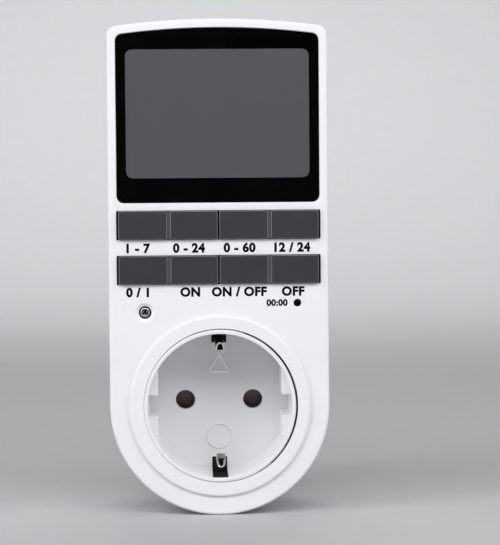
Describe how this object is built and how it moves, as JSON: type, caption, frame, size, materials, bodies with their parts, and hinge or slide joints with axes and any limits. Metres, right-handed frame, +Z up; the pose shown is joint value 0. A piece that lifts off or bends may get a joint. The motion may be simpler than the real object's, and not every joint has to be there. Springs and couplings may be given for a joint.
{
  "type": "digital plug-in timer",
  "caption": "White digital plug-in timer: display window and grey double keys above an earthed recessed socket, with an earthed plug boss and pins behind.",
  "frame": {"origin": "midway between the two plug pins, on the plug boss's end face", "axes": "+Y into the wall along the pins, +Z up, +X to the right seen from the front"},
  "size_m": [0.06, 0.075, 0.1354],
  "materials": {
    "shell_white": "fine satin moulded plastic",
    "insert_white": "satin moulded polycarbonate",
    "lens_clear": "clear glossy acrylic",
    "mask_black": "printed gloss black",
    "display_glass": "grey display glass",
    "reflector_grey": "matt grey sheet",
    "frame_plastic": "matt plastic",
    "key_grey": "fine matt moulded plastic",
    "silicone_grey": "matt silicone rubber",
    "connector_rubber": "matt rubber",
    "board_green": "glass fibre board with green lacquer",
    "part_black": "matt black plastic",
    "part_blue": "blue lacquer",
    "part_yellow": "yellow plastic case",
    "battery_sleeve": "green shrink sleeve",
    "shutter_brown": "matt brown plastic",
    "carrier_white": "matt plastic",
    "steel": "bright steel",
    "nickel": "nickel plated",
    "brass": "bare brass"
  },
  "bodies": {
    "casing": {"front_cover": "shell_white", "rear_housing": "shell_white", "window_lens": "lens_clear", "window_mask": "mask_black", "lcd_panel": "display_glass", "lcd_reflector": "reflector_grey", "lcd_frame": "frame_plastic", "zebra_strip": "connector_rubber", "silicone_dome_mat": "silicone_grey", "reset_switch_body": "part_black", "control_board": "board_green", "backup_battery": "battery_sleeve", "processor_chip": "part_black", "crystal": "steel", "socket_insert": "insert_white", "socket_floor": "insert_white", "shutter_spring": "steel", "contact_carrier": "carrier_white", "live_contact_sleeve": "brass", "neutral_contact_sleeve": "brass", "earth_clip": "nickel", "upper_plug_earth_strip": "nickel", "lower_plug_earth_strip": "nickel", "plug_pin_live": "nickel", "plug_pin_neutral": "nickel", "neutral_strap": "brass", "live_strap": "brass", "switched_live_strap": "brass", "power_board": "board_green", "relay": "part_blue", "dropper_capacitor": "part_yellow", "smoothing_capacitor": "part_black", "varistor": "part_blue", "rectifier_diodes": "part_black", "board_link": "part_black", "front_screw": "steel", "rear_screws": "steel", "control_board_screws": "steel", "power_board_screws": "steel"},
    "key_upper_left": {"double_key_upper_left": "key_grey"},
    "key_upper_right": {"double_key_upper_right": "key_grey"},
    "key_lower_left": {"double_key_lower_left": "key_grey"},
    "key_lower_right": {"double_key_lower_right": "key_grey"},
    "reset_button": {"reset_button": "part_black"},
    "shutter": {"shutter": "shutter_brown"}
  },
  "joints": [
    {"name": "key_rock_upper_left", "type": "hinge", "parent": "casing", "child": "key_upper_left", "pos_m": [-0.01385, -0.0518, 0.04945], "axis": [0, 0, 1], "range_deg": [-2.5, 2.5], "stiffness_Nm_per_rad": 0.3},
    {"name": "key_rock_upper_right", "type": "hinge", "parent": "casing", "child": "key_upper_right", "pos_m": [0.01385, -0.0518, 0.04945], "axis": [0, 0, 1], "range_deg": [-2.5, 2.5], "stiffness_Nm_per_rad": 0.3},
    {"name": "key_rock_lower_left", "type": "hinge", "parent": "casing", "child": "key_lower_left", "pos_m": [-0.01385, -0.0518, 0.03725], "axis": [0, 0, 1], "range_deg": [-2.5, 2.5], "stiffness_Nm_per_rad": 0.3},
    {"name": "key_rock_lower_right", "type": "hinge", "parent": "casing", "child": "key_lower_right", "pos_m": [0.01385, -0.0518, 0.03725], "axis": [0, 0, 1], "range_deg": [-2.5, 2.5], "stiffness_Nm_per_rad": 0.3},
    {"name": "reset_press", "type": "slide", "parent": "casing", "child": "reset_button", "axis": [0, 1, 0], "range_m": [0, 0.0003], "stiffness_N_per_m": 3000},
    {"name": "shutter_slide", "type": "slide", "parent": "casing", "child": "shutter", "axis": [0, 0, 1], "range_m": [0, 0.0063], "stiffness_N_per_m": 120, "springref_m": -0.003, "deforming": ["shutter_spring"]}
  ]
}
